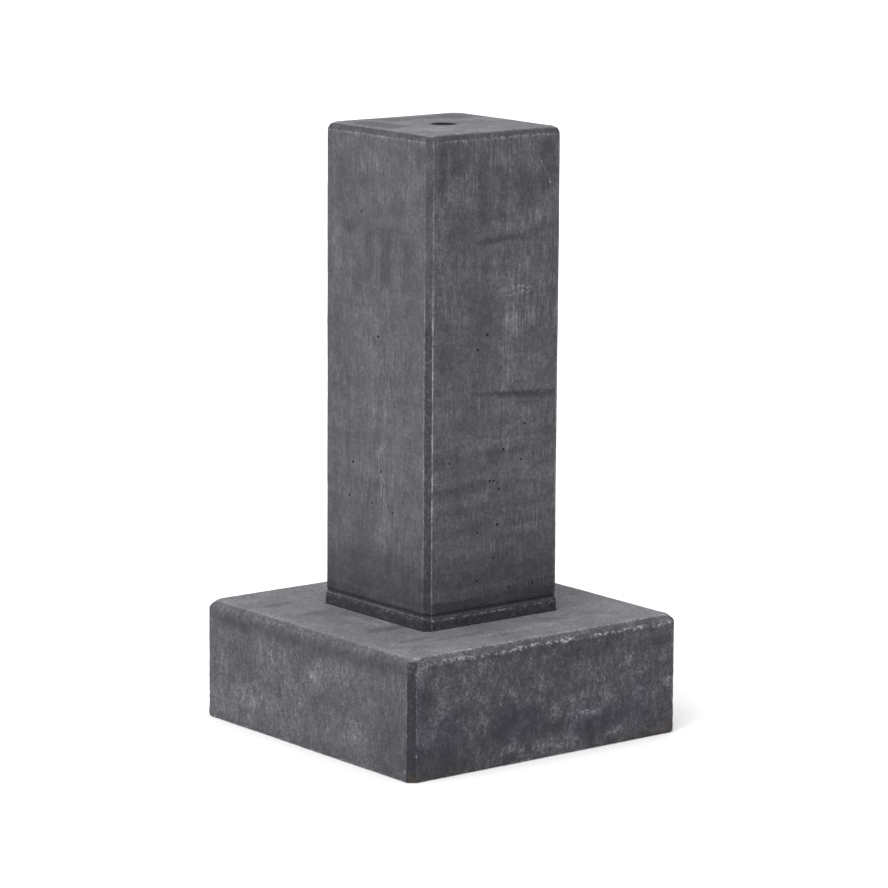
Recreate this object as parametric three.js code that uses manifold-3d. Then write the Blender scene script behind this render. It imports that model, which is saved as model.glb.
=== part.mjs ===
// Column base block: a square column cast in one piece with a wider square foot, in dark grey concrete.
// Millimetres, +Z up. The origin is the middle of the foot's underside, and +Z runs up the column.
import * as THREE from 'three';
import { mergeVertices } from 'three/addons/utils/BufferGeometryUtils.js';
import Module from 'manifold-3d';

// Foot
const footSide = 280;
const footHeight = 100;
const footDraft = 0.4; // each side leans in this much from the underside to the top
const footCornerChamfer = 5.5;
const footTopChamfer = 5.5;
const footBottomArris = 1.2; // the worn edge round the underside

// Column
const columnSide = 139;
const columnHeight = 400; // from the foot's top to the column's top
const columnCornerChamfer = 5;
const columnTopChamfer = 5.3;

// Lip round the column's foot, where the foot's mould closed against the column
const lipBand = 8.5; // height of its upright face
const lipBevel = 2.5; // height of the slope above that face
const lipProud = 1.2; // how far it stands out from the column
const lipCornerChamfer = 6;

// Shallow groove that the mould's joint left in the column just above the lip
const grooveHeight = 2.4;
const grooveDepth = 0.6;

// Hole for a stud, with the shallow dish round its mouth
const holeDiameter = 20;
const holeDepth = 100;
const dishRim = 2.5; // width of the dish round the hole
const dishDepth = 0.5;
const holeSides = 48;

const concrete = new THREE.MeshStandardMaterial({ color: 0x3c3e44, roughness: 0.85, metalness: 0 });

const wasm = await Module();
wasm.setup();

// A square with chamfered corners, in grid units: 2 stands for half the side, 1 for half the side less the chamfer.
function templateSquare() {
  const corners = [
    [2, -1], [2, 1], [1, 2], [-1, 2],
    [-2, 1], [-2, -1], [-1, -2], [1, -2],
  ];
  return new THREE.Shape(corners.map(([x, y]) => new THREE.Vector2(x, y)));
}

// Places one grid coordinate of the template on a level's real square.
function placeOnSquare(grid, level) {
  const reach = Math.abs(grid) > 1.5 ? level.half : level.half - level.chamfer;
  return Math.sign(grid) * reach;
}

// A closed solid through a stack of chamfered squares. Each level has z, half (half its side) and chamfer.
function squareStack(levels) {
  const steps = levels.length - 1;
  const geometry = new THREE.ExtrudeGeometry(templateSquare(), { depth: steps, steps, bevelEnabled: false });
  const position = geometry.getAttribute('position');
  for (let i = 0; i < position.count; i += 1) {
    const level = levels[Math.round(position.getZ(i))];
    const x = placeOnSquare(position.getX(i), level);
    const y = placeOnSquare(position.getY(i), level);
    position.setXYZ(i, x, y, level.z);
  }
  return geometry;
}

// A three.js geometry with its shared vertices merged, as a solid that can be joined and cut.
function toSolid(geometry) {
  const bare = geometry.clone();
  bare.deleteAttribute('normal');
  bare.deleteAttribute('uv');
  const merged = mergeVertices(bare, 1e-4);
  const vertProperties = new Float32Array(merged.getAttribute('position').array);
  const triVerts = new Uint32Array(merged.getIndex().array);
  return new wasm.Manifold(new wasm.Mesh({ numProp: 3, vertProperties, triVerts }));
}

// A solid's triangles as a three.js geometry.
function toGeometry(solid) {
  const mesh = solid.getMesh();
  const geometry = new THREE.BufferGeometry();
  geometry.setAttribute('position', new THREE.BufferAttribute(mesh.vertProperties, 3));
  geometry.setIndex(new THREE.BufferAttribute(mesh.triVerts, 1));
  geometry.computeVertexNormals();
  return geometry;
}

// The casting's outer form, from the underside to the column's top, as one stack of squares.
function castingLevels() {
  const footHalf = footSide / 2;
  const footTopHalf = footHalf - footDraft;
  const columnHalf = columnSide / 2;
  const lipHalf = columnHalf + lipProud;
  const lipTop = footHeight + lipBand;
  const grooveBottom = lipTop + lipBevel;
  const grooveTop = grooveBottom + grooveHeight;
  const columnTop = footHeight + columnHeight;
  const onFoot = (z, half) => ({ z, half, chamfer: footCornerChamfer });
  const onLip = (z, half) => ({ z, half, chamfer: lipCornerChamfer });
  const onColumn = (z, half) => ({ z, half, chamfer: columnCornerChamfer });
  return [
    onFoot(0, footHalf - footBottomArris),
    onFoot(footBottomArris, footHalf),
    onFoot(footHeight - footTopChamfer, footTopHalf),
    onFoot(footHeight, footTopHalf - footTopChamfer),
    onLip(footHeight, lipHalf),
    onLip(lipTop, lipHalf),
    onColumn(grooveBottom, columnHalf),
    onColumn((grooveBottom + grooveTop) / 2, columnHalf - grooveDepth),
    onColumn(grooveTop, columnHalf),
    onColumn(columnTop - columnTopChamfer, columnHalf),
    onColumn(columnTop, columnHalf - columnTopChamfer),
  ];
}

// The cutter for the hole and its dish: a turned profile that starts and ends on the axis.
function holeCutter() {
  const columnTop = footHeight + columnHeight;
  const holeRadius = holeDiameter / 2;
  const dishRadius = holeRadius + dishRim;
  const cutterTop = columnTop + dishRadius; // clear above the column
  const profile = [
    new THREE.Vector2(0, columnTop - holeDepth),
    new THREE.Vector2(holeRadius, columnTop - holeDepth),
    new THREE.Vector2(holeRadius, columnTop - dishDepth),
    new THREE.Vector2(dishRadius, columnTop),
    new THREE.Vector2(dishRadius, cutterTop),
    new THREE.Vector2(0, cutterTop),
  ];
  return new THREE.LatheGeometry(profile, holeSides).rotateX(Math.PI / 2);
}

const casting = toSolid(squareStack(castingLevels())).subtract(toSolid(holeCutter()));

const columnBaseBlock = new THREE.Mesh(toGeometry(casting), concrete);
columnBaseBlock.name = 'column_base_block';

const part = new THREE.Group();
part.add(columnBaseBlock);

export default part;
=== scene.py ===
# A column base block cast in dark grey concrete: the casting's real surface, and the studio round it.
import math
from typing import NamedTuple

import bpy
import numpy as np
from bpy.props import FloatProperty, FloatVectorProperty, IntProperty, PointerProperty
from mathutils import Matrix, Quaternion, Vector


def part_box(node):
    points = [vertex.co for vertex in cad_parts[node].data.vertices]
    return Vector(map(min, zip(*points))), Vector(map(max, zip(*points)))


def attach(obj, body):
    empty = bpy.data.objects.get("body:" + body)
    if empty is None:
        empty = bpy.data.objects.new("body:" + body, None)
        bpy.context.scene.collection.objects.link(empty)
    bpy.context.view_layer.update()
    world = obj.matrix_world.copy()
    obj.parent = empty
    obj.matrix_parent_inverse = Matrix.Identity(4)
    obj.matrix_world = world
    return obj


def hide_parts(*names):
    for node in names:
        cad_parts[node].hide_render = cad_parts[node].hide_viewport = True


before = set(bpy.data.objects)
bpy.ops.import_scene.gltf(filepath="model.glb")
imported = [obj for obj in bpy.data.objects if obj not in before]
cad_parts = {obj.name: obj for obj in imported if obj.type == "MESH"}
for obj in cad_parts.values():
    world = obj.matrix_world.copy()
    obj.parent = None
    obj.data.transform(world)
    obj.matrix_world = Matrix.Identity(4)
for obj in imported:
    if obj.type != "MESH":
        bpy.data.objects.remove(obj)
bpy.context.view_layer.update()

bl_info = {
    "name": "Column base block",
    "version": (1, 0, 0),
    "blender": (4, 5, 0),
    "location": "View3D > Sidebar > Column base",
    "description": "Builds a cast concrete column base block with its worn surface, and a studio to show it in",
    "category": "Object",
}

CAD_NODE = "column_base_block"
PIECE = "cast_column_base"
MM = 0.001

BOX_LOW, BOX_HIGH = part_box(CAD_NODE)
FOOT_SIDE = BOX_HIGH.x - BOX_LOW.x
TOTAL_HEIGHT = BOX_HIGH.z - BOX_LOW.z


class CastingSizes(bpy.types.PropertyGroup):
    """The casting's sizes, the same as the solid's."""

    foot_side: FloatProperty(
        name="Foot side", description="Width of the square foot", default=FOOT_SIDE, unit="LENGTH"
    )
    foot_height: FloatProperty(
        name="Foot height", description="Height of the foot's top", default=100 * MM, unit="LENGTH"
    )
    foot_draft: FloatProperty(
        name="Foot draft", description="How far each side leans in", default=0.4 * MM, unit="LENGTH"
    )
    foot_chamfer: FloatProperty(
        name="Foot chamfer", description="Chamfer of the foot's edges", default=5.5 * MM, unit="LENGTH"
    )
    foot_arris: FloatProperty(
        name="Foot arris", description="Worn edge round the underside", default=1.2 * MM, unit="LENGTH"
    )
    total_height: FloatProperty(
        name="Total height", description="Height of the column's top", default=TOTAL_HEIGHT, unit="LENGTH"
    )
    column_side: FloatProperty(
        name="Column side", description="Width of the square column", default=139 * MM, unit="LENGTH"
    )
    column_chamfer: FloatProperty(
        name="Column chamfer", description="Chamfer of the upright edges", default=5 * MM, unit="LENGTH"
    )
    column_top_chamfer: FloatProperty(
        name="Column top chamfer", description="Chamfer round the top", default=5.3 * MM, unit="LENGTH"
    )
    lip_band: FloatProperty(
        name="Lip band", description="Height of the lip's upright face", default=8.5 * MM, unit="LENGTH"
    )
    lip_bevel: FloatProperty(
        name="Lip bevel", description="Height of the slope on the lip", default=2.5 * MM, unit="LENGTH"
    )
    lip_proud: FloatProperty(
        name="Lip proud", description="How far the lip stands out", default=1.2 * MM, unit="LENGTH"
    )
    lip_chamfer: FloatProperty(
        name="Lip chamfer", description="Chamfer of the lip's corners", default=6 * MM, unit="LENGTH"
    )
    groove_height: FloatProperty(
        name="Groove height", description="Height of the joint's groove", default=2.4 * MM, unit="LENGTH"
    )
    groove_depth: FloatProperty(
        name="Groove depth", description="Depth of the joint's groove", default=0.6 * MM, unit="LENGTH"
    )
    hole_diameter: FloatProperty(
        name="Hole", description="Diameter of the stud hole", default=20 * MM, unit="LENGTH"
    )
    hole_depth: FloatProperty(
        name="Hole depth", description="Depth of the stud hole", default=100 * MM, unit="LENGTH"
    )
    dish_rim: FloatProperty(
        name="Dish rim", description="Width of the dish round the hole", default=2.5 * MM, unit="LENGTH"
    )
    dish_depth: FloatProperty(
        name="Dish depth", description="Depth of the dish round the hole", default=0.5 * MM, unit="LENGTH"
    )


class CastingWear(bpy.types.PropertyGroup):
    """How uneven, pitted and broken the casting's skin is."""

    wave_depth: FloatProperty(
        name="Wave depth", description="Depth of the slow waves in the faces", default=1.1 * MM, unit="LENGTH"
    )
    wave_length: FloatProperty(
        name="Wave length", description="Length of the slow waves", default=90 * MM, unit="LENGTH"
    )
    ripple_depth: FloatProperty(
        name="Ripple depth", description="Depth of the ripples in the faces", default=0.14 * MM, unit="LENGTH"
    )
    ripple_length: FloatProperty(
        name="Ripple length", description="Length of the ripples", default=13 * MM, unit="LENGTH"
    )
    arris_depth: FloatProperty(
        name="Arris wear", description="How deep the arrises are rubbed", default=1.0 * MM, unit="LENGTH"
    )
    arris_length: FloatProperty(
        name="Arris wear length", description="Length of the rubbed stretches", default=9 * MM, unit="LENGTH"
    )
    rough_depth: FloatProperty(
        name="Rough depth", description="Depth of the rough skin on the lip", default=1.8 * MM, unit="LENGTH"
    )
    rough_length: FloatProperty(
        name="Rough length", description="Grain of the rough skin", default=3.5 * MM, unit="LENGTH"
    )
    hole_smallest: FloatProperty(
        name="Smallest air hole", description="Diameter of the smallest", default=1.7 * MM, unit="LENGTH"
    )
    hole_largest: FloatProperty(
        name="Largest air hole", description="Diameter of the largest", default=3.0 * MM, unit="LENGTH"
    )
    holes_per_area: FloatProperty(
        name="Air holes", description="Air holes on each square metre of a hidden face", default=240
    )
    chip_smallest: FloatProperty(
        name="Smallest chip", description="Width of the smallest chip", default=0.8 * MM, unit="LENGTH"
    )
    chip_largest: FloatProperty(
        name="Largest chip", description="Width of the largest chip", default=2.8 * MM, unit="LENGTH"
    )
    chip_spacing: FloatProperty(
        name="Chip spacing", description="Spacing of the places that may chip", default=1.6 * MM, unit="LENGTH"
    )
    seed: IntProperty(name="Seed", description="Seed of the scattered holes and chips", default=7)


class ConcreteFinish(bpy.types.PropertyGroup):
    """Colours of the concrete."""

    dark: FloatVectorProperty(
        name="Dark skin", description="The darkest cement skin", subtype="COLOR", default=(0.0185, 0.0178, 0.0245)
    )
    pale: FloatVectorProperty(
        name="Pale skin", description="Dusty, rubbed skin", subtype="COLOR", default=(0.32, 0.315, 0.34)
    )
    soil: FloatVectorProperty(
        name="Soil", description="Dried soil at the foot's corners", subtype="COLOR", default=(0.056, 0.045, 0.029)
    )
    broken: FloatVectorProperty(
        name="Broken", description="Freshly broken arris", subtype="COLOR", default=(0.19, 0.19, 0.2)
    )
    # The air holes' inner faces take this near-black as painted shade, for the shade deep in the holes.
    air_hole_painted_shade: FloatVectorProperty(
        name="Air hole", description="Dark inside of an air hole", subtype="COLOR", default=(0.012, 0.012, 0.014)
    )
    roughness: FloatProperty(
        name="Roughness", description="Roughness of the skin", default=0.82, subtype="FACTOR"
    )


class StudioSettings(bpy.types.PropertyGroup):
    """Camera and lights."""

    azimuth: FloatProperty(
        name="Azimuth", description="Turn of the camera round the block", default=-0.6709, subtype="ANGLE"
    )
    pitch: FloatProperty(
        name="Pitch", description="How far the camera looks down", default=0.18205, subtype="ANGLE"
    )
    roll: FloatProperty(name="Roll", description="Lean of the camera", default=0.006514, subtype="ANGLE")
    distance: FloatProperty(
        name="Distance", description="From the camera to its aim", default=3.3498, unit="LENGTH"
    )
    aim_across: FloatProperty(
        name="Aim across", description="The aim's place beside the axis", default=2 * MM, unit="LENGTH"
    )
    aim_height: FloatProperty(
        name="Aim height", description="The aim's height", default=235.94 * MM, unit="LENGTH"
    )
    lens: FloatProperty(name="Lens", description="Focal length in millimetres", default=165.38)
    floor: FloatVectorProperty(
        name="Floor", description="Colour of the floor", subtype="COLOR", default=(0.88, 0.88, 0.88)
    )
    sky: FloatProperty(name="Sky", description="Strength of the light from all round", default=0.62)
    key: FloatProperty(name="Key", description="Strength of the soft light from the left", default=1.9)
    top: FloatProperty(name="Top", description="Strength of the soft light overhead", default=1.7)


def settings():
    """The scene's four groups of settings."""
    scene = bpy.context.scene
    return scene.column_base_sizes, scene.column_base_wear, scene.column_base_finish, scene.column_base_studio


# Node trees

def wire(tree, socket, value):
    """Feeds a socket from another socket, or sets its own value."""
    if isinstance(value, bpy.types.NodeSocket):
        tree.links.new(value, socket)
    else:
        socket.default_value = value


def add(tree, kind, inputs=None, **properties):
    """Adds a node, sets its properties, and feeds the inputs named."""
    made = tree.nodes.new(kind)
    for name, value in properties.items():
        setattr(made, name, value)
    for name, value in (inputs or {}).items():
        wire(tree, made.inputs[name], value)
    return made


def maths(tree, operation, *values, clamp=False):
    """One sum of numbers."""
    made = add(tree, "ShaderNodeMath", dict(enumerate(values)), operation=operation, use_clamp=clamp)
    return made.outputs[0]


def vectors(tree, operation, *values):
    """One sum of vectors."""
    made = add(tree, "ShaderNodeVectorMath", dict(enumerate(values)), operation=operation)
    return made.outputs["Value" if operation in {"LENGTH", "DOT_PRODUCT", "DISTANCE"} else "Vector"]


def scaled(tree, vector, by):
    """A vector times a number."""
    return add(tree, "ShaderNodeVectorMath", {0: vector, "Scale": by}, operation="SCALE").outputs[0]


def noise(tree, vector, scale, detail=2.0, roughness=0.5):
    """Noise from about 0 to 1, at scale lumps to the metre."""
    inputs = {"Vector": vector, "Scale": scale, "Detail": detail, "Roughness": roughness}
    return add(tree, "ShaderNodeTexNoise", inputs, noise_dimensions="3D").outputs[0]


def between(tree, value, low, high, to_low=0.0, to_high=1.0):
    """Carries a number smoothly from one range to another, and stops at its ends."""
    inputs = {"Value": value, "From Min": low, "From Max": high, "To Min": to_low, "To Max": to_high}
    return add(tree, "ShaderNodeMapRange", inputs, interpolation_type="SMOOTHSTEP").outputs["Result"]


def mixed(tree, share, first, second):
    """A colour between two."""
    made = add(tree, "ShaderNodeMix", data_type="RGBA")
    wire(tree, made.inputs[0], share)
    wire(tree, made.inputs[6], first)
    wire(tree, made.inputs[7], second)
    return made.outputs[2]


def new_tree(name, numbers, objects=(), materials=(), words=()):
    """A geometry tree with its named inputs. Returns the tree, its inputs' sockets and its output node."""
    tree = bpy.data.node_groups.new(name, "GeometryNodeTree")
    tree.interface.new_socket(name="Geometry", in_out="INPUT", socket_type="NodeSocketGeometry")
    for label in numbers:
        tree.interface.new_socket(name=label, in_out="INPUT", socket_type="NodeSocketFloat")
    for label in objects:
        tree.interface.new_socket(name=label, in_out="INPUT", socket_type="NodeSocketObject")
    for label in materials:
        tree.interface.new_socket(name=label, in_out="INPUT", socket_type="NodeSocketMaterial")
    for label in words:
        tree.interface.new_socket(name=label, in_out="INPUT", socket_type="NodeSocketString")
    tree.interface.new_socket(name="Seed", in_out="INPUT", socket_type="NodeSocketInt")
    tree.interface.new_socket(name="Geometry", in_out="OUTPUT", socket_type="NodeSocketGeometry")
    return tree, tree.nodes.new("NodeGroupInput").outputs, tree.nodes.new("NodeGroupOutput")


def run_tree(piece, tree, values):
    """Runs a geometry tree on a piece and keeps the result as the piece's plain mesh."""
    modifier = piece.modifiers.new(tree.name, "NODES")
    modifier.node_group = tree
    for item in tree.interface.items_tree:
        if item.in_out == "INPUT" and item.name in values:
            modifier[item.identifier] = values[item.name]
    bpy.context.view_layer.update()
    graph = bpy.context.evaluated_depsgraph_get()
    made = bpy.data.meshes.new_from_object(piece.evaluated_get(graph), depsgraph=graph)
    piece.modifiers.remove(modifier)
    old = piece.data
    piece.data = made
    bpy.data.meshes.remove(old)


# The casting's skin, as one stack of rings

SIDE_STEPS = 58  # cells along each side of a ring
CORNER_ROUND = 0.45 * MM
GUARD = 0.9 * MM  # a narrow cell beside each arris, so that its wear stays narrow
TOP_REACH = 0.85  # how far in the column's worn top chamfer goes, against the solid's
TOP_FACET_IN, TOP_FACET_DOWN = 1.4 * MM, 1.9 * MM  # where that chamfer's two facets meet
UNDERSIDE_MIDDLE = 6 * MM  # half width of the first ring, in the underside's middle
HOLE_FLOOR_MIDDLE = 1 * MM  # half width of the last ring, in the hole's floor
CORNER_TURN = math.sqrt(0.5)


class Knot(NamedTuple):
    """A corner of the profile, from the underside's middle up to the hole's floor."""

    half: float
    z: float
    chamfer: float
    circle: float  # 0 for a chamfered square, 1 for a circle
    rounding: float
    step: float  # spacing of the rings from the last knot to this one
    arris: float = 0.0
    rough: float = 0.0


def profile_knots(s):
    """The profile's corners, from the casting's sizes."""
    foot_half = s.foot_side / 2
    foot_top_half = foot_half - s.foot_draft
    column_half = s.column_side / 2
    lip_half = column_half + s.lip_proud
    lip_top = s.foot_height + s.lip_band
    groove_low = lip_top + s.lip_bevel
    groove_high = groove_low + s.groove_height
    hole_radius = s.hole_diameter / 2
    top = s.total_height
    fc, cc, lc = s.foot_chamfer, s.column_chamfer, s.lip_chamfer
    return [
        Knot(UNDERSIDE_MIDDLE, 0, fc / 4, 1, 0, 1),
        Knot(foot_half - s.foot_arris, 0, fc, 0, 0.5 * MM, 8 * MM, 0.5, 1),
        Knot(foot_half, s.foot_arris, fc, 0, 1.0 * MM, 1 * MM, 1, 1),
        Knot(foot_top_half, s.foot_height - s.foot_chamfer, fc, 0, 1.8 * MM, 3 * MM, 1),
        Knot(foot_top_half - s.foot_chamfer, s.foot_height, fc, 0, 1.6 * MM, 1.2 * MM, 0.6),
        Knot(lip_half, s.foot_height, lc, 0, 0.3 * MM, 3 * MM, 0, 0.4),
        Knot(lip_half, lip_top, lc, 0, 0.9 * MM, 1.4 * MM, 0.8, 1),
        Knot(column_half, groove_low, cc, 0, 0.3 * MM, 1 * MM, 0, 0.8),
        Knot(column_half - s.groove_depth, (groove_low + groove_high) / 2, cc, 0, 0.4 * MM, 1 * MM, 0, 0.5),
        Knot(column_half, groove_high, cc, 0, 0.7 * MM, 1 * MM, 0.3, 0.3),
        Knot(column_half, top - s.column_top_chamfer, cc, 0, 0.5 * MM, 3.2 * MM, 1),
        Knot(column_half - TOP_FACET_IN, top - TOP_FACET_DOWN, cc, 0, 0.3 * MM, 1.2 * MM, 0.3),
        Knot(column_half - s.column_top_chamfer * TOP_REACH, top, cc, 0, 0.4 * MM, 1.2 * MM, 0.5),
        Knot(hole_radius + s.dish_rim, top, cc, 1, 0.4 * MM, 3 * MM),
        Knot(hole_radius, top - s.dish_depth, cc, 1, 0.4 * MM, 1 * MM, 0.6),
        Knot(hole_radius, top - s.hole_depth, cc, 1, 0, 12 * MM),
        Knot(HOLE_FLOOR_MIDDLE, top - s.hole_depth, cc / 4, 1, 0, 5 * MM),
    ]


def towards(here, other, length):
    """The point a length away from one knot's row towards another's, and at most 45% of the way there."""
    share = min(length / math.dist(here[:2], other[:2]), 0.45)
    return here + (other - here) * share


def profile_stations(knots):
    """Rows of half, z, chamfer, circle, arris and rough: one for each ring."""
    rows = []
    shapes = [np.array(k[:4]) for k in knots]
    leave = shapes[0]
    for index in range(1, len(knots)):
        knot, here = knots[index], shapes[index]
        arrive = towards(here, shapes[index - 1], knot.rounding)
        steps = max(1, round(math.dist(leave[:2], arrive[:2]) / knot.step))
        rough_before = knots[index - 1].rough
        for k in range(steps):
            share = k / steps
            rough = rough_before * (1 - share) + knot.rough * share
            rows.append([*(leave + (arrive - leave) * share), 0, rough])
        if knot.rounding == 0 or index == len(knots) - 1:
            leave = here
            continue
        leave = towards(here, shapes[index + 1], knot.rounding)
        for t in (0, 0.25, 0.5, 0.75):
            curve = arrive * (1 - t) ** 2 + here * 2 * t * (1 - t) + leave * t ** 2
            wear = knot.arris * (1 - abs(2 * t - 1) * 0.5)
            rows.append([*curve, wear, knot.rough])
    rows.append([*shapes[-1], 0, 0])
    return np.array(rows)


def ring_template():
    """A quarter ring: each point's sums of 1, half side and chamfer, then its arris and chamfer marks."""
    edge = CORNER_ROUND + GUARD
    points = [((0, 1, 0), (CORNER_ROUND, -1, 1), 0.6, 0)]
    for k in range(SIDE_STEPS + 1):
        u = 2 * k / SIDE_STEPS - 1
        points.append(((0, 1, 0), (-u * edge, u, -u), 0, 0))
    points.append(((0, 1, 0), (-CORNER_ROUND, 1, -1), 0.6, 0))
    d = CORNER_ROUND * CORNER_TURN
    g = edge * CORNER_TURN
    points.append(((-d / 4, 1, 0), ((d - CORNER_ROUND) / 4, 1, -1), 1, 0.5))
    points.append(((-d, 1, 0), (d, 1, -1), 0.6, 1))
    points.append(((-g, 1, 0), (g, 1, -1), 0, 1))
    points.append(((0, 1, -0.5), (0, 1, -0.5), 0, 1))
    points.append(((g, 1, -1), (-g, 1, 0), 0, 1))
    points.append(((d, 1, -1), (-d, 1, 0), 0.6, 1))
    points.append((((d - CORNER_ROUND) / 4, 1, -1), (-d / 4, 1, 0), 1, 0.5))
    return points


def ring_sums():
    """The whole ring's template: the sums for x and y, and each point's arris and chamfer marks."""
    across, along, arris, chamfer = [], [], [], []
    quarter = ring_template()
    for turn in range(4):
        for x, y, worn, cut in quarter:
            x, y = np.array(x, float), np.array(y, float)
            for _ in range(turn):
                x, y = -y, x
            across.append(x)
            along.append(y)
            arris.append(worn)
            chamfer.append(cut)
    return np.array(across), np.array(along), np.array(arris), np.array(chamfer)


def skin_mesh(s):
    """The whole skin as one closed mesh of rings, with marks for its arrises, chamfers and rough parts."""
    stations = profile_stations(profile_knots(s))
    across, along, ring_arris, ring_chamfer = ring_sums()
    reference = np.array([1, s.column_side / 2, s.column_chamfer])
    turn = np.arctan2(along @ reference, across @ reference)
    count = len(turn)
    verts, arris, chamfer, rough = [], [], [], []
    for half, z, cut, circle, worn, grain in stations:
        sums = np.array([1, half, min(cut, half / 2)])
        x = (across @ sums) * (1 - circle) + half * np.cos(turn) * circle
        y = (along @ sums) * (1 - circle) + half * np.sin(turn) * circle
        verts.append(np.stack([x, y, np.full(count, z)], -1))
        on_foot = s.foot_arris <= z <= s.foot_height - s.foot_chamfer / 2
        on_column = s.foot_height < z <= s.total_height - s.column_top_chamfer / 2
        upright = 1.0 if circle == 0 and (on_foot or on_column) else 0.0
        arris.append(np.maximum(worn, ring_arris * upright))
        chamfer.append(ring_chamfer * upright)
        rough.append(np.full(count, grain))
    faces = []
    for row in range(len(stations) - 1):
        low, high = row * count, (row + 1) * count
        for k in range(count):
            n = (k + 1) % count
            faces.append((low + k, low + n, high + n, high + k))
    faces.append(tuple(reversed(range(count))))
    last = (len(stations) - 1) * count
    faces.append(tuple(last + k for k in range(count)))
    mesh = bpy.data.meshes.new(PIECE)
    mesh.from_pydata(np.concatenate(verts).tolist(), [], faces)
    for name, values in (("arris", arris), ("chamfer", chamfer), ("rough", rough)):
        attribute = mesh.attributes.new(name, "FLOAT", "POINT")
        attribute.data.foreach_set("value", np.concatenate(values).astype(np.float32))
    return mesh


# Geometry trees for the skin's unevenness, and for what is broken out of it

SOFT_FROM, SOFT_ALL = -124 * MM, -133 * MM  # across the foot's top, out to its edge towards -X
SOFT_FOOT_LOW, SOFT_FOOT_HIGH = 84 * MM, 92 * MM  # and up that side
SOFT_CORNER, SOFT_BEFORE_CORNER = 134 * MM, 112 * MM  # and along that edge, up to its far corner
SOFT_STEPS = 9
NOISE_FLOOR = 0.3  # the skin is pressed in where a layer's noise is over this
STROKE_DRIFT = 8 * MM  # how far the wide strokes' edges wander
LEAST_SQUASH, MOST_SQUASH = (0.75, 0.75, 0.75), (1.25, 1.25, 1.25)
LUMP_SWELL = 0.6  # how uneven a lump is, against the largest lump
CHIP_STRAY = 0.45  # how far a chip strays, against the chips' spacing
TURNED_AWAY = 0.95  # from what slant a hidden face takes scattered air holes


def uneven_tree():
    """Softens one edge, presses the skin in by waves, ripples, wear and grain, and stores the wide strokes."""
    layers = (("Wave", None, 1.0), ("Ripple", None, 3.0), ("Arris", "arris", 2.0), ("Rough", "rough", 2.0))
    numbers = [f"{name} {size}" for name, _, _ in layers for size in ("depth", "length")]
    tree, given, out = new_tree("Uneven skin", numbers, materials=("Skin",))
    place = add(tree, "GeometryNodeInputPosition").outputs[0]
    parts = add(tree, "ShaderNodeSeparateXYZ", {0: place}).outputs
    near_side = between(tree, parts[0], SOFT_FROM, SOFT_ALL)
    before_corner = between(tree, parts[1], SOFT_CORNER, SOFT_BEFORE_CORNER)
    soft = product(tree, near_side, between(tree, parts[2], SOFT_FOOT_LOW, SOFT_FOOT_HIGH), before_corner)
    blurred = add(tree, "GeometryNodeBlurAttribute", {"Iterations": SOFT_STEPS}, data_type="FLOAT_VECTOR")
    for socket in blurred.inputs:
        if socket.type == "VECTOR":
            wire(tree, socket, place)
        elif socket.name == "Weight":
            wire(tree, socket, soft)
    smoothed = next(o for o in blurred.outputs if o.type == "VECTOR")
    softened = add(tree, "GeometryNodeSetPosition", {"Geometry": given["Geometry"], "Position": smoothed})
    total = 0.0
    for name, mark, detail in layers:
        scale = maths(tree, "DIVIDE", 1.0, given[f"{name} length"])
        dip = maths(tree, "SUBTRACT", noise(tree, place, scale, detail), NOISE_FLOOR)
        depth = maths(tree, "MULTIPLY", maths(tree, "MAXIMUM", dip, 0.0), given[f"{name} depth"])
        if mark:
            weight = add(tree, "GeometryNodeInputNamedAttribute", {"Name": mark}, data_type="FLOAT")
            depth = maths(tree, "MULTIPLY", depth, weight.outputs[0])
        total = maths(tree, "ADD", total, depth)
    normal = add(tree, "GeometryNodeInputNormal").outputs[0]
    inwards = scaled(tree, normal, maths(tree, "MULTIPLY", total, -1.0))
    pressed = add(tree, "GeometryNodeSetPosition", {"Geometry": softened.outputs[0], "Offset": inwards})
    stained = pressed.outputs[0]
    group = stroke_group("GeometryNodeTree")
    wandering = strayed(tree, place, 80.0, (STROKE_DRIFT,) * 3)
    for name, strokes in (("stain", wide_strokes()), ("blue", BLUE_STROKES), ("soil", SOIL_STROKES)):
        value = strokes_tone(tree, group, wandering, strokes)
        stained = add(tree, "GeometryNodeStoreNamedAttribute", {
            "Geometry": stained, "Name": name, "Value": value,
        }, data_type="FLOAT", domain="POINT").outputs[0]
    plain = add(tree, "GeometryNodeRealizeInstances", {"Geometry": stained})
    skinned = add(tree, "GeometryNodeSetMaterial", {"Geometry": plain.outputs[0], "Material": given["Skin"]})
    wire(tree, out.inputs[0], skinned.outputs[0])
    return tree


def random_number(tree, low, high, seed):
    """A number at random for each point."""
    made = add(tree, "FunctionNodeRandomValue", data_type="FLOAT")
    for index, value in ((2, low), (3, high), (8, seed)):
        wire(tree, made.inputs[index], value)
    return made.outputs[1]


def random_vector(tree, low, high, seed):
    """A vector at random for each point."""
    made = add(tree, "FunctionNodeRandomValue", data_type="FLOAT_VECTOR")
    for index, value in ((0, low), (1, high), (8, seed)):
        wire(tree, made.inputs[index], value)
    return made.outputs[0]


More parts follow.
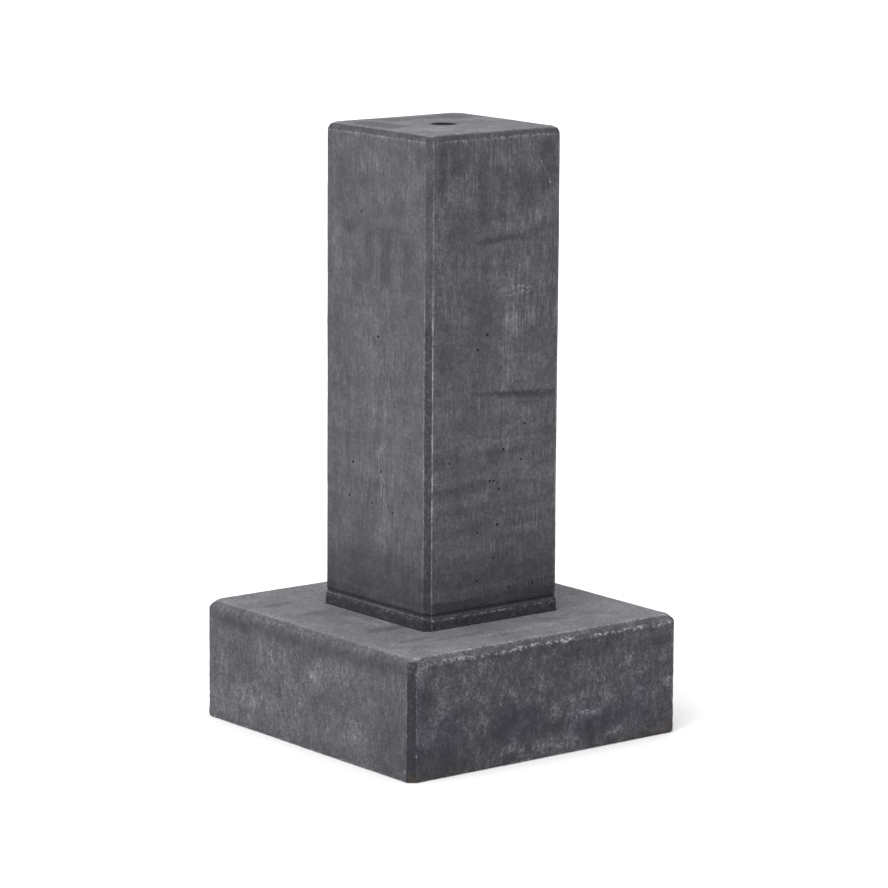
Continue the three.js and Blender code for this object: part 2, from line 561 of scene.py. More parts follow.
def cut_lumps(tree, given, out, points, size, fineness):
    """Cuts a small uneven lump out of the skin at each point, and gives the new faces their own material."""
    lump = add(tree, "GeometryNodeMeshIcoSphere", {"Radius": 0.5, "Subdivisions": fineness}).outputs[0]
    turn = random_vector(tree, (0, 0, 0), (math.tau, math.tau, math.tau), given["Seed"])
    squash = random_vector(tree, LEAST_SQUASH, MOST_SQUASH, given["Seed"])
    placed = add(tree, "GeometryNodeInstanceOnPoints", {
        "Points": points, "Instance": lump, "Rotation": turn, "Scale": scaled(tree, squash, size),
    })
    lumps = add(tree, "GeometryNodeRealizeInstances", {"Geometry": placed.outputs[0]})
    place = add(tree, "GeometryNodeInputPosition").outputs[0]
    grain = noise(tree, place, maths(tree, "DIVIDE", 2.0, given["Largest"]), 1.0)
    most = maths(tree, "MULTIPLY", given["Largest"], LUMP_SWELL)
    swell = maths(tree, "MULTIPLY", maths(tree, "SUBTRACT", grain, 0.5), most)
    normal = add(tree, "GeometryNodeInputNormal").outputs[0]
    uneven = add(tree, "GeometryNodeSetPosition", {
        "Geometry": lumps.outputs[0], "Offset": scaled(tree, normal, swell),
    })
    marked = add(tree, "GeometryNodeStoreNamedAttribute", {
        "Geometry": uneven.outputs[0], "Name": given["Mark"], "Value": True,
    }, data_type="BOOLEAN", domain="FACE")
    cut = add(tree, "GeometryNodeMeshBoolean", {0: given["Geometry"], 1: marked.outputs[0]},
              operation="DIFFERENCE", solver="MANIFOLD")
    plain = add(tree, "GeometryNodeRealizeInstances", {"Geometry": cut.outputs[0]})
    mark = add(tree, "GeometryNodeInputNamedAttribute", {"Name": given["Mark"]}, data_type="BOOLEAN")
    painted = add(tree, "GeometryNodeSetMaterial", {
        "Geometry": plain.outputs[0], "Selection": mark.outputs[0], "Material": given["Cut"],
    })
    wire(tree, out.inputs[0], painted.outputs[0])


def air_hole_tree():
    """Cuts the air holes: those at the given marks, and as many more on the faces turned away."""
    numbers = ("Density", "Smallest", "Largest")
    tree, given, out = new_tree("Air holes", numbers, ("Marks",), ("Cut",), ("Mark",))
    normal = add(tree, "GeometryNodeInputNormal").outputs[0]
    away = maths(tree, "GREATER_THAN", vectors(tree, "DOT_PRODUCT", normal, (1, 1, 0)), TURNED_AWAY)
    spread = add(tree, "GeometryNodeDistributePointsOnFaces", {
        "Mesh": given["Geometry"], "Selection": away, "Density": given["Density"], "Seed": given["Seed"],
    })
    seen = add(tree, "GeometryNodeObjectInfo", {"Object": given["Marks"]})
    marks = add(tree, "GeometryNodeMeshToPoints", {"Mesh": seen.outputs["Geometry"]})
    both = add(tree, "GeometryNodeJoinGeometry")
    wire(tree, both.inputs[0], spread.outputs["Points"])
    wire(tree, both.inputs[0], marks.outputs[0])
    share = maths(tree, "POWER", random_number(tree, 0.0, 1.0, given["Seed"]), 2.0)
    step = maths(tree, "SUBTRACT", given["Largest"], given["Smallest"])
    size = maths(tree, "MULTIPLY_ADD", share, step, given["Smallest"])
    cut_lumps(tree, given, out, both.outputs[0], size, 2)
    return tree


def crumble_tree():
    """Breaks small chips out along the given lines, where their own crumble says so."""
    numbers = ("Spacing", "Smallest", "Largest")
    tree, given, out = new_tree("Crumbled arrises", numbers, ("Marks",), ("Cut",), ("Mark",))
    lines = add(tree, "GeometryNodeObjectInfo", {"Object": given["Marks"]})
    curves = add(tree, "GeometryNodeMeshToCurve", {"Mesh": lines.outputs["Geometry"]})
    along = add(tree, "GeometryNodeResampleCurve", {"Curve": curves.outputs[0], "Length": given["Spacing"]},
                mode="LENGTH")
    points = add(tree, "GeometryNodeCurveToPoints", {"Curve": along.outputs[0]}, mode="EVALUATED")
    crumble = add(tree, "GeometryNodeInputNamedAttribute", {"Name": "crumble"}, data_type="FLOAT").outputs[0]
    place = add(tree, "GeometryNodeInputPosition").outputs[0]
    patchy = between(tree, noise(tree, place, 45.0, 1.0), 0.35, 0.6)
    chance = maths(tree, "MULTIPLY", crumble, patchy)
    spared = maths(tree, "GREATER_THAN", random_number(tree, 0.0, 1.0, given["Seed"]), chance)
    kept = add(tree, "GeometryNodeDeleteGeometry", {"Geometry": points.outputs[0], "Selection": spared},
               domain="POINT")
    reach = scaled(tree, random_vector(tree, (-1, -1, -1), (1, 1, 1), given["Seed"]),
                   maths(tree, "MULTIPLY", given["Spacing"], CHIP_STRAY))
    strewn = add(tree, "GeometryNodeSetPosition", {"Geometry": kept.outputs[0], "Offset": reach})
    share = maths(tree, "POWER", random_number(tree, 0.0, 1.0, given["Seed"]), 2.0)
    step = maths(tree, "SUBTRACT", given["Largest"], given["Smallest"])
    size = maths(tree, "MULTIPLY_ADD", share, step, given["Smallest"])
    cut_lumps(tree, given, out, strewn.outputs[0], size, 1)
    return tree


# Marks read off the real block

LEFT, RIGHT = "left", "right"
# Air holes seen on the column, in millimetres: along the face from its middle, and up from the ground.
SEEN_HOLES = {
    LEFT: ((18.7, 431.6), (-4.3, 332.2), (28.6, 224.7), (-8.3, 221.7), (33.9, 196.0), (3.6, 194.2),
           (-24.4, 190.4)),
    RIGHT: ((-8.8, 336.1), (-18.4, 324.8), (30.7, 260.2), (8.9, 241.1), (-46.8, 235.1), (27.9, 230.8),
            (-4.9, 216.4), (-0.7, 215.9), (4.6, 208.7), (3.3, 179.5), (-17.4, 175.4), (-0.5, 152.2),
            (-17.6, 135.3), (40.9, 126.0), (16.0, 125.9)),
}
# How much of each arris is broken away, on the sides towards -Y, +X, +Y and -X.
FOOT_TOP_CRUMBLE = (1.0, 0.6, 0.5, 0.12)
FOOT_BOTTOM_CRUMBLE = (0.5, 0.5, 0.5, 0.4)
COLUMN_TOP_CRUMBLE = (0.45, 0.3, 0.3, 0.12)


def helper(name, points, edges=(), marks=None):
    """A mesh of bare points and lines for a tree to read. It is deleted once the tree has run."""
    mesh = bpy.data.meshes.new(name)
    mesh.from_pydata([tuple(p) for p in points], list(edges), [])
    for key, values in (marks or {}).items():
        mesh.attributes.new(key, "FLOAT", "POINT").data.foreach_set("value", values)
    made = bpy.data.objects.new(name, mesh)
    bpy.context.scene.collection.objects.link(made)
    return made


def discard(helper_object):
    """Deletes a helper and its mesh."""
    mesh = helper_object.data
    bpy.data.objects.remove(helper_object)
    bpy.data.meshes.remove(mesh)


def hole_marks(s):
    """Where the air holes are that the seen faces show."""
    half = s.column_side / 2
    points = [(-half, y * MM, z * MM) for y, z in SEEN_HOLES[LEFT]]
    points += [(x * MM, -half, z * MM) for x, z in SEEN_HOLES[RIGHT]]
    return helper("hole_marks", points)


def square_lines(half, z, crumbles):
    """The four sides of a square at one height, each with its own crumble, in the order -Y, +X, +Y, -X."""
    corners = [(-half, -half), (half, -half), (half, half), (-half, half)]
    for k, crumble in enumerate(crumbles):
        (x0, y0), (x1, y1) = corners[k], corners[(k + 1) % 4]
        yield (x0, y0, z), (x1, y1, z), crumble


def arris_marks(s):
    """The arrises that crumble: lines with the share of each that is broken away."""
    foot_half = s.foot_side / 2
    foot_top_half = foot_half - s.foot_draft
    column_half = s.column_side / 2
    lines = list(square_lines(foot_top_half, s.foot_height - s.foot_chamfer, FOOT_TOP_CRUMBLE))
    lines += square_lines(foot_half, s.foot_arris, FOOT_BOTTOM_CRUMBLE)
    lines += square_lines(column_half, s.total_height - s.column_top_chamfer, COLUMN_TOP_CRUMBLE)
    points, edges, crumble = [], [], []
    for start, end, share in lines:
        edges.append((len(points), len(points) + 1))
        points += [start, end]
        crumble += [share, share]
    return helper("arris_marks", points, edges, {"crumble": crumble})


# Finishes

PALE_SHARE = 0.21  # the skin's usual share of its pale colour
BLUE_CAST = (0.78, 0.775, 0.96)
WIDE = 3.5  # the reach in millimetres from which a stroke is kept on the skin's points
BREAK_GRAIN = 900.0  # lumps to the metre where the skin is broken or pitted

# Layers of the skin's pattern: lumps to the metre, strength, detail and roughness.
CLOUDS = (13.0, 0.6, 2.0, 0.6)
MOTTLING = (75.0, 0.9, 3.0, 0.75)
FEATHERS = (30.0, 0.9, 4.0, 0.7)
UPRIGHT_GRAIN = (260.0, 1.1, 3.0, 0.85)
FINE_GRAIN = (440.0, 1.6, 2.0, 0.9)
BRUSH_HAIRS = (520.0, 1.15, 2.0, 0.8)
BRUSH_BANDS = (110.0, 0.35, 2.0, 0.7)
WIPES = (110.0, 0.8, 3.0, 0.8)
PITS = (290.0, 7.5, 3.0, 0.95)
CHAMFER_SPECKS = (330.0, 1.0, 3.0, 0.9)

# How a pattern is stretched, as shares of each axis: a small share draws it out along that axis.
BRUSHED_STRETCH = (1, 1, 0.075)
GRAIN_STRETCH = (1, 1, 0.35)
WIPED_STRETCH = (0.2, 0.2, 1)

# From and to what slant a face counts as facing up or to one side.
FACING_UP = (0.78, 0.95)
FACING_SIDE = (0.6, 0.9)

# Heights and places between which the tone changes.
WIPED_HEIGHTS = (330 * MM, 230 * MM)
DARK_CHAMFER_HEIGHTS = (353 * MM, 347 * MM)
RUBBED_HEIGHTS = (400 * MM, 340 * MM)
LOW_ABOVE_FOOT = (66 * MM, 30 * MM)
LOWER_ABOVE_FOOT = (110 * MM, 20 * MM)
FOOT_END = (-40 * MM, -130 * MM)
SOFT_EDGE_ACROSS = (-129 * MM, -134 * MM)
SOFT_EDGE_HEIGHTS = (82 * MM, 90 * MM)


class Face(NamedTuple):
    """A flat face of the casting: the axis that it crosses, and where it crosses it in millimetres."""

    axis: int
    offset: float

    def at(self, along, up):
        """A point of the face. A top's second measure is along +Y."""
        return ((self.offset, along, up), (along, self.offset, up), (along, up, self.offset))[self.axis]


COLUMN_LEFT, COLUMN_RIGHT = Face(0, -69.5), Face(1, -69.5)
FOOT_LEFT, FOOT_RIGHT = Face(0, -140), Face(1, -140)
FOOT_TOP, COLUMN_TOP = Face(2, 100), Face(2, 500)


class Stroke(NamedTuple):
    """A mark along a line: its ends and its reach in millimetres, and how much darker or paler it is."""

    start: tuple
    end: tuple
    reach: float
    change: float


def stroke(face, start, end, reach, change):
    """A stroke along a line of a face."""
    return Stroke(face.at(*start), face.at(*end), reach, change)


def patch(face, along, up, wide, high, change):
    """A long round patch of a face, given by its middle and by its half width and half height."""
    reach = min(wide, high)
    run, rise = wide - reach + 0.1, high - reach + 0.1
    return stroke(face, (along - run, up - rise), (along + run, up + rise), reach, change)


# What the column's two seen faces show: the darker bands that the mould left, and the paler wipes.
COLUMN_STROKES = (
    stroke(COLUMN_RIGHT, (-24, 289), (62, 284), 2.6, -0.7),
    stroke(COLUMN_RIGHT, (4, 286), (62, 281), 3.4, -0.7),
    stroke(COLUMN_RIGHT, (22, 278.5), (34, 277.5), 2.4, -0.4),
    stroke(COLUMN_RIGHT, (-20, 411), (28, 414), 3.4, -0.6),
    stroke(COLUMN_RIGHT, (-60, 115.4), (66, 115.4), 1.6, -0.5),
    stroke(COLUMN_RIGHT, (30, 416), (62, 420), 3.0, -0.2),
    stroke(COLUMN_RIGHT, (-40, 262), (20, 262), 2.0, -0.2),
    stroke(COLUMN_RIGHT, (0, 251), (60, 254), 2.4, -0.25),
    patch(COLUMN_RIGHT, -50, 237, 18, 8, -0.3),
    patch(COLUMN_RIGHT, 0, 238, 12, 11, -0.32),
    patch(COLUMN_RIGHT, 24, 240, 12, 7, -0.15),
    patch(COLUMN_RIGHT, 55, 247, 7, 10, -0.3),
    patch(COLUMN_RIGHT, -38, 213, 30, 5, -0.28),
    patch(COLUMN_RIGHT, 20, 216, 40, 3, -0.12),
    patch(COLUMN_RIGHT, 0, 196, 62, 5, -0.16),
    patch(COLUMN_RIGHT, -30, 178, 34, 8, -0.16),
    patch(COLUMN_RIGHT, 30, 168, 30, 4, -0.14),
    patch(COLUMN_RIGHT, 10, 129, 54, 4, 0.12),
    patch(COLUMN_RIGHT, 0, 142, 64, 5, -0.1),
    stroke(COLUMN_RIGHT, (-60, 113.6), (66, 113.6), 2.4, -0.5),
    stroke(COLUMN_RIGHT, (-64, 118.6), (66, 119.2), 3.4, -0.55),
    patch(COLUMN_RIGHT, 52, 470, 12, 26, -0.26),
    patch(COLUMN_RIGHT, -56, 474, 7, 22, -0.3),
    patch(COLUMN_RIGHT, -42, 478, 8, 14, -0.2),
    patch(COLUMN_RIGHT, -14, 452, 9, 34, -0.2),
    patch(COLUMN_RIGHT, 6, 440, 5, 26, -0.2),
    patch(COLUMN_RIGHT, 30, 452, 12, 24, -0.25),
    patch(COLUMN_RIGHT, -40, 420, 22, 30, -0.12),
    patch(COLUMN_RIGHT, -52, 330, 10, 26, -0.22),
    patch(COLUMN_RIGHT, -20, 345, 20, 44, -0.12),
    patch(COLUMN_RIGHT, 14, 330, 12, 50, 0.16),
    patch(COLUMN_RIGHT, 30, 470, 14, 14, 0.14),
    patch(COLUMN_RIGHT, 6, 476, 16, 8, 0.14),
    patch(COLUMN_RIGHT, 46, 430, 16, 10, 0.16),
    patch(COLUMN_RIGHT, 14, 424, 18, 8, 0.15),
    patch(COLUMN_RIGHT, 42, 310, 16, 12, 0.14),
    patch(COLUMN_RIGHT, 26, 346, 22, 9, 0.16),
    stroke(COLUMN_RIGHT, (-30, 443), (-26, 478), 0.9, 0.35),
    stroke(COLUMN_RIGHT, (-34, 478), (-30, 462), 0.8, 0.35),
    stroke(COLUMN_RIGHT, (-8, 468), (-6, 490), 0.8, 0.3),
    stroke(COLUMN_RIGHT, (12, 450), (13, 485), 0.9, 0.3),
    stroke(COLUMN_RIGHT, (-56, 442), (5, 446), 0.6, 0.3),
    stroke(COLUMN_RIGHT, (34, 477), (46, 473), 1.1, 0.7),
    stroke(COLUMN_RIGHT, (46, 473), (55, 455), 1.0, 0.8),
    stroke(COLUMN_RIGHT, (55, 455), (57, 444), 1.0, 0.55),
    stroke(COLUMN_RIGHT, (28, 468), (44, 468), 0.8, 0.4),
    stroke(COLUMN_RIGHT, (22, 373), (52, 371), 1.1, 0.9),
    stroke(COLUMN_RIGHT, (14, 367), (44, 369), 1.0, 0.6),
    stroke(COLUMN_RIGHT, (30, 363), (50, 365), 1.0, 0.6),
    stroke(COLUMN_RIGHT, (-64, 494.4), (66, 494.4), 1.1, 0.35),
    stroke(COLUMN_LEFT, (-66, 494.4), (66, 494.4), 1.2, 0.45),
    Stroke((-67.8, 62, 498.5), (-67.8, -62, 498.5), 1.6, -0.3),
    Stroke((-62, -67.8, 498.5), (62, -67.8, 498.5), 1.6, -0.25),
    stroke(COLUMN_RIGHT, (-6, 372), (14, 373), 0.7, 0.2),
    stroke(COLUMN_RIGHT, (10, 358), (60, 352), 0.7, 0.25),
    stroke(COLUMN_RIGHT, (-56, 335), (-49, 333), 2.0, 0.3),
    stroke(COLUMN_LEFT, (-62, 368), (66, 376), 0.7, 0.4),
    stroke(COLUMN_LEFT, (-45, 367), (-20, 368), 1.2, 0.25),
    stroke(COLUMN_LEFT, (40, 419), (-50, 420), 1.0, -0.25),
    patch(COLUMN_LEFT, 34, 418, 10, 8, -0.25),
    patch(COLUMN_LEFT, 8, 398, 9, 22, -0.22),
    patch(COLUMN_LEFT, -14, 396, 10, 26, -0.28),
    patch(COLUMN_LEFT, -42, 392, 8, 22, -0.22),
    patch(COLUMN_LEFT, 20, 378, 8, 18, -0.16),
    patch(COLUMN_LEFT, -30, 440, 12, 16, -0.18),
    patch(COLUMN_LEFT, 48, 456, 8, 26, -0.12),
    patch(COLUMN_LEFT, 8, 470, 20, 10, 0.12),
    patch(COLUMN_LEFT, 20, 440, 14, 14, 0.12),
    patch(COLUMN_LEFT, 52, 395, 10, 20, 0.10),
    patch(COLUMN_LEFT, -56, 478, 6, 14, -0.16),
    patch(COLUMN_LEFT, 50, 330, 8, 30, -0.10),
    patch(COLUMN_LEFT, 36, 240, 6, 40, -0.14),
    patch(COLUMN_LEFT, -42, 290, 8, 30, -0.08),
    patch(COLUMN_LEFT, 50, 200, 8, 30, -0.1),
    stroke(COLUMN_LEFT, (-4, 345), (4, 250), 7.0, 0.14),
    stroke(COLUMN_LEFT, (-12, 318), (-2, 300), 3.0, 0.16),
    stroke(COLUMN_LEFT, (-18, 296), (-10, 240), 5.0, 0.12),
    stroke(COLUMN_LEFT, (-6, 240), (-14, 185), 7.0, 0.15),
    stroke(COLUMN_LEFT, (26, 330), (32, 260), 3.0, 0.1),
    stroke(COLUMN_LEFT, (46, 225), (46, 190), 2.0, 0.2),
    stroke(COLUMN_LEFT, (-38, 250), (-34, 215), 3.0, 0.1),
    patch(COLUMN_LEFT, 0, 150, 50, 14, -0.05),
    stroke(COLUMN_LEFT, (64, 113.8), (-64, 113.2), 2.4, -0.5),
    stroke(COLUMN_LEFT, (66, 119), (20, 118), 3.0, -0.3),
    stroke(COLUMN_LEFT, (-66, 121), (-16, 119), 3.0, -0.25),
    stroke(COLUMN_RIGHT, (10, 122), (66, 122), 2.2, -0.35),
    stroke(COLUMN_RIGHT, (30, 128), (66, 129), 1.6, -0.3),
    stroke(COLUMN_RIGHT, (-64, 121), (-20, 120), 2.2, -0.25),
)
# What the foot's two seen faces show: blooms of lime, smears, and damp, bluish places.
FOOT_STROKES = (
    patch(FOOT_LEFT, 116, 60, 16, 14, 0.10),
    patch(FOOT_LEFT, 92, 28, 22, 18, 0.16),
    patch(FOOT_LEFT, 74, 24, 10, 8, 0.22),
    patch(FOOT_LEFT, 66, 40, 8, 6, 0.15),
    patch(FOOT_LEFT, 62, 62, 3, 20, 0.16),
    patch(FOOT_LEFT, 46, 66, 6, 9, 0.28),
    patch(FOOT_LEFT, 30, 60, 5, 20, 0.1),
    patch(FOOT_LEFT, -14, 62, 8, 7, 0.28),
    patch(FOOT_LEFT, -6, 60, 16, 12, 0.12),
    patch(FOOT_LEFT, 40, 30, 20, 12, 0.1),
    patch(FOOT_LEFT, -70, 26, 16, 12, 0.18),
    patch(FOOT_LEFT, -64, 36, 12, 3, 0.16),
    patch(FOOT_LEFT, 100, 84, 26, 6, -0.2),
    patch(FOOT_LEFT, 10, 84, 44, 6, -0.16),
    patch(FOOT_LEFT, -60, 84, 50, 8, -0.14),
    patch(FOOT_LEFT, -112, 40, 20, 30, -0.12),
    patch(FOOT_LEFT, -50, 8, 60, 6, -0.1),
    stroke(FOOT_LEFT, (28, 66), (14, 30), 1.4, 0.3),
    stroke(FOOT_LEFT, (14, 30), (-6, 18), 1.4, 0.25),
    stroke(FOOT_LEFT, (22, 62), (10, 34), 4.0, 0.14),
    stroke(FOOT_LEFT, (58, 76), (54, 52), 1.2, 0.35),
    stroke(FOOT_LEFT, (-128, 92), (-131, 80), 1.0, 0.6),
    stroke(FOOT_LEFT, (-120, 91), (-124, 82), 1.0, 0.55),
    stroke(FOOT_LEFT, (-110, 86), (-118, 84), 1.0, 0.3),
    patch(FOOT_LEFT, -131, 9, 3, 4, 0.8),
    patch(FOOT_RIGHT, -110, 14, 40, 22, -0.32),
    patch(FOOT_RIGHT, -124, 68, 10, 20, -0.25),
    patch(FOOT_RIGHT, -60, 26, 18, 14, -0.22),
    patch(FOOT_RIGHT, -38, 36, 9, 9, -0.34),
    patch(FOOT_RIGHT, -18, 42, 12, 9, -0.3),
    patch(FOOT_RIGHT, -4, 24, 30, 12, -0.25),
    patch(FOOT_RIGHT, 60, 20, 24, 8, -0.3),
    patch(FOOT_RIGHT, 44, 12, 4, 14, -0.3),
    patch(FOOT_RIGHT, 116, 50, 14, 12, -0.2),
    patch(FOOT_RIGHT, 112, 80, 18, 8, -0.25),
    patch(FOOT_RIGHT, 40, 82, 26, 8, -0.2),
    patch(FOOT_RIGHT, -100, 86, 24, 6, -0.14),
    patch(FOOT_RIGHT, 8, 36, 9, 12, 0.34),
    patch(FOOT_RIGHT, -4, 42, 4, 8, 0.25),
    stroke(FOOT_RIGHT, (24, 32), (56, 31), 4.2, 0.5),
    patch(FOOT_RIGHT, 30, 46, 22, 5, 0.22),
    patch(FOOT_RIGHT, 64, 40, 10, 10, 0.36),
    patch(FOOT_RIGHT, -40, 12, 10, 6, 0.45),
    patch(FOOT_RIGHT, -8, 10, 12, 6, 0.35),
    patch(FOOT_RIGHT, 28, 12, 10, 6, 0.3),
    patch(FOOT_RIGHT, 70, 12, 12, 5, 0.28),
    patch(FOOT_RIGHT, -66, 38, 12, 14, 0.22),
    patch(FOOT_RIGHT, -80, 60, 20, 10, 0.12),
    patch(FOOT_RIGHT, -20, 60, 22, 8, 0.15),
    patch(FOOT_RIGHT, 16, 60, 18, 8, 0.16),
    patch(FOOT_RIGHT, 84, 68, 12, 12, 0.4),
    patch(FOOT_RIGHT, 96, 58, 12, 8, 0.25),
    patch(FOOT_RIGHT, 130, 44, 7, 7, 0.5),
    patch(FOOT_RIGHT, 124, 66, 8, 5, 0.3),
    stroke(FOOT_RIGHT, (-46, 94.4), (-14, 95.2), 1.9, 1.3),
    stroke(FOOT_RIGHT, (-14, 95.4), (4, 96.2), 1.4, 0.9),
    stroke(FOOT_RIGHT, (14, 94.4), (24, 94.6), 1.8, 1.3),
    stroke(FOOT_RIGHT, (60, 94.4), (128, 94.8), 1.2, 0.6),
    stroke(FOOT_RIGHT, (-130, 94.4), (-46, 94.4), 1.2, 0.55),
    stroke(FOOT_RIGHT, (-134, 91), (134, 91), 2.4, -0.4),
    Stroke((-139.6, -135, 93), (-139.6, -135, 64), 1.3, 0.9),
    Stroke((-139.6, -135, 52), (-139.6, -135, 28), 1.1, 0.7),
    Stroke((-135, -139.6, 97), (-135, -139.6, 82), 1.6, 1.0),
    Stroke((-137.2, -137.4, 62), (-137.4, -137.2, 48), 1.5, 1.2),
    Stroke((-138.6, -136, 12), (-138.2, -136.4, 3), 1.8, 1.1),
    patch(FOOT_RIGHT, -64, 34, 3, 16, 0.3),
    patch(FOOT_RIGHT, -28, 8, 4, 5, 0.5),
    patch(FOOT_RIGHT, 10, 8, 6, 4, 0.4),
    patch(FOOT_RIGHT, 92, 40, 6, 12, 0.25),
    patch(FOOT_RIGHT, 12, 66, 40, 3, -0.15),
    patch(FOOT_RIGHT, -90, 50, 14, 8, -0.2),
    stroke(FOOT_LEFT, (-130, 89), (134, 89), 7.0, -0.22),
    stroke(FOOT_LEFT, (-134, 95), (-126, 94), 1.6, 0.8),
    stroke(FOOT_RIGHT, (-134, 93), (-124, 92), 2.0, 0.9),
    stroke(FOOT_LEFT, (-135.5, 90), (-135.5, 62), 1.1, 0.9),
    stroke(FOOT_LEFT, (-135.5, 56), (-135.5, 34), 0.9, 0.6),
    stroke(FOOT_LEFT, (-135.5, 20), (-135.5, 8), 1.2, 0.9),
    stroke(FOOT_RIGHT, (-134.5, 88), (-134.5, 70), 1.2, 0.9),
    stroke(FOOT_RIGHT, (-133.5, 54), (-134, 30), 1.0, 0.8),
    stroke(FOOT_RIGHT, (-133.5, 24), (-134, 10), 0.9, 0.6),
    stroke(FOOT_LEFT, (86, 84), (82, 56), 3.0, -0.25),
    stroke(FOOT_LEFT, (70, 80), (68, 52), 2.4, -0.3),
    stroke(FOOT_LEFT, (38, 58), (30, 26), 2.4, -0.25),
    stroke(FOOT_LEFT, (80, 34), (88, 12), 3.0, -0.2),
    stroke(FOOT_LEFT, (-100, 70), (-102, 20), 3.0, -0.14),
    patch(FOOT_RIGHT, 12, 97, 16, 4, 0.35),
    stroke(FOOT_RIGHT, (-8, 50), (-6, 74), 1.0, 0.45),
    stroke(FOOT_RIGHT, (-17, 76), (-17, 90), 0.9, 0.35),
    stroke(FOOT_RIGHT, (-58, 12), (-56, 48), 1.2, 0.35),
    stroke(FOOT_RIGHT, (-56, 26), (-50, 46), 1.0, 0.25),
    stroke(FOOT_RIGHT, (26, 74), (27, 90), 1.4, 0.35),
    stroke(FOOT_RIGHT, (34, 72), (34, 86), 1.2, 0.3),
    stroke(FOOT_RIGHT, (104, 78), (104, 94), 1.2, 0.25),
    stroke(FOOT_RIGHT, (-132, 97), (-130, 92), 1.6, 1.1),
    stroke(FOOT_RIGHT, (-134, 84), (-128, 80), 1.0, 0.7),
    stroke(FOOT_RIGHT, (-128, 80), (-122, 84), 0.9, 0.5),
    stroke(FOOT_RIGHT, (46, 28), (44, 18), 1.2, -0.4),
    stroke(FOOT_RIGHT, (72, 8), (68, 26), 1.0, 0.3),
    patch(FOOT_TOP, -84, -40, 26, 8, -0.22),
    patch(FOOT_TOP, -100, 40, 20, 6, -0.18),
    patch(FOOT_TOP, -86, 10, 8, 40, 0.1),
    patch(FOOT_TOP, -60, -96, 30, 5, -0.14),
    patch(FOOT_TOP, 20, -104, 50, 8, 0.08),
    patch(FOOT_TOP, 60, -90, 30, 7, -0.12),
    patch(FOOT_TOP, 100, 0, 20, 60, 0.12),
    patch(FOOT_TOP, -104, 84, 18, 7, -0.25),
    patch(FOOT_TOP, -92, -84, 20, 6, -0.2),
    patch(FOOT_TOP, -30, -112, 18, 4, -0.2),
    patch(COLUMN_TOP, -48, 22, 18, 34, -0.35),
    patch(COLUMN_TOP, 40, 40, 24, 24, -0.3),
    patch(COLUMN_TOP, 0, 46, 30, 12, -0.25),
    patch(COLUMN_TOP, -30, -30, 30, 18, 0.12),
)
# Where soil dried on the foot's low corners.
SOIL_STROKES = (
    patch(FOOT_RIGHT, 132, 6, 12, 9, 1.0),
    patch(FOOT_RIGHT, 100, 2, 30, 5, 0.9),
    patch(FOOT_RIGHT, -110, 1, 26, 3, 0.8),
    patch(FOOT_RIGHT, -134, 4, 8, 7, 0.8),
    patch(FOOT_LEFT, -137, 4, 6, 8, 0.8),
)
# Damp places of the foot, where the skin is bluer.
BLUE_STROKES = (
    patch(FOOT_RIGHT, -128, 50, 12, 40, 0.35),
    patch(FOOT_RIGHT, -104, 34, 22, 26, 0.7),
    patch(FOOT_RIGHT, -30, 34, 30, 20, 0.9),
    patch(FOOT_RIGHT, 50, 24, 40, 20, 0.4),
    patch(FOOT_RIGHT, 96, 30, 20, 30, 0.4),
)


def wide_strokes():
    """The strokes that are broad enough to be kept on the skin's points."""
    return [m for m in COLUMN_STROKES + FOOT_STROKES if m.reach >= WIDE]


def fine_strokes(strokes):
    """The strokes that the finish draws by itself."""
    return [m for m in strokes if m.reach < WIDE]


def stroke_group(kind):
    """How close a point is to a line between two points: 1 on the line and 0 beyond its reach."""
    tree = bpy.data.node_groups.new("Stroke", kind)
    for label in ("Vector", "Start", "End"):
        tree.interface.new_socket(name=label, in_out="INPUT", socket_type="NodeSocketVector")
    tree.interface.new_socket(name="Reach", in_out="INPUT", socket_type="NodeSocketFloat")
    tree.interface.new_socket(name="Stroke", in_out="OUTPUT", socket_type="NodeSocketFloat")
    given = tree.nodes.new("NodeGroupInput").outputs
    run = vectors(tree, "SUBTRACT", given["End"], given["Start"])
    away = vectors(tree, "SUBTRACT", given["Vector"], given["Start"])
    share = maths(tree, "DIVIDE", vectors(tree, "DOT_PRODUCT", away, run), vectors(tree, "DOT_PRODUCT", run, run))
    held = maths(tree, "MAXIMUM", maths(tree, "MINIMUM", share, 1.0), 0.0)
    off = vectors(tree, "LENGTH", vectors(tree, "SUBTRACT", away, scaled(tree, run, held)))
    close = between(tree, maths(tree, "DIVIDE", off, given["Reach"]), 0.25, 1.0, 1.0, 0.0)
    wire(tree, tree.nodes.new("NodeGroupOutput").inputs[0], close)
    return tree


def strokes_tone(tree, group, vector, strokes):
    """The sum of many strokes."""
    total = 0.0
    kind = tree.bl_idname.replace("Tree", "Group")
    for mark in strokes:
        made = add(tree, kind, node_tree=group)
        wire(tree, made.inputs["Vector"], vector)
        made.inputs["Start"].default_value = Vector(mark.start) * MM
        made.inputs["End"].default_value = Vector(mark.end) * MM
        made.inputs["Reach"].default_value = mark.reach * MM
        total = maths(tree, "MULTIPLY_ADD", made.outputs[0], mark.change, total)
    return total


def swing(tree, vector, scale, strength, detail=2.0, roughness=0.6):
    """Noise that swings to both sides of nothing."""
    value = noise(tree, vector, scale, detail, roughness)
    return maths(tree, "MULTIPLY", maths(tree, "SUBTRACT", value, 0.5), strength)


def product(tree, *values):
    """Several numbers multiplied."""
    result = values[0]
    for value in values[1:]:
        result = maths(tree, "MULTIPLY", result, value)
    return result


def total_of(tree, *values):
    """Several numbers added."""
    result = values[0]
    for value in values[1:]:
        result = maths(tree, "ADD", result, value)
    return result


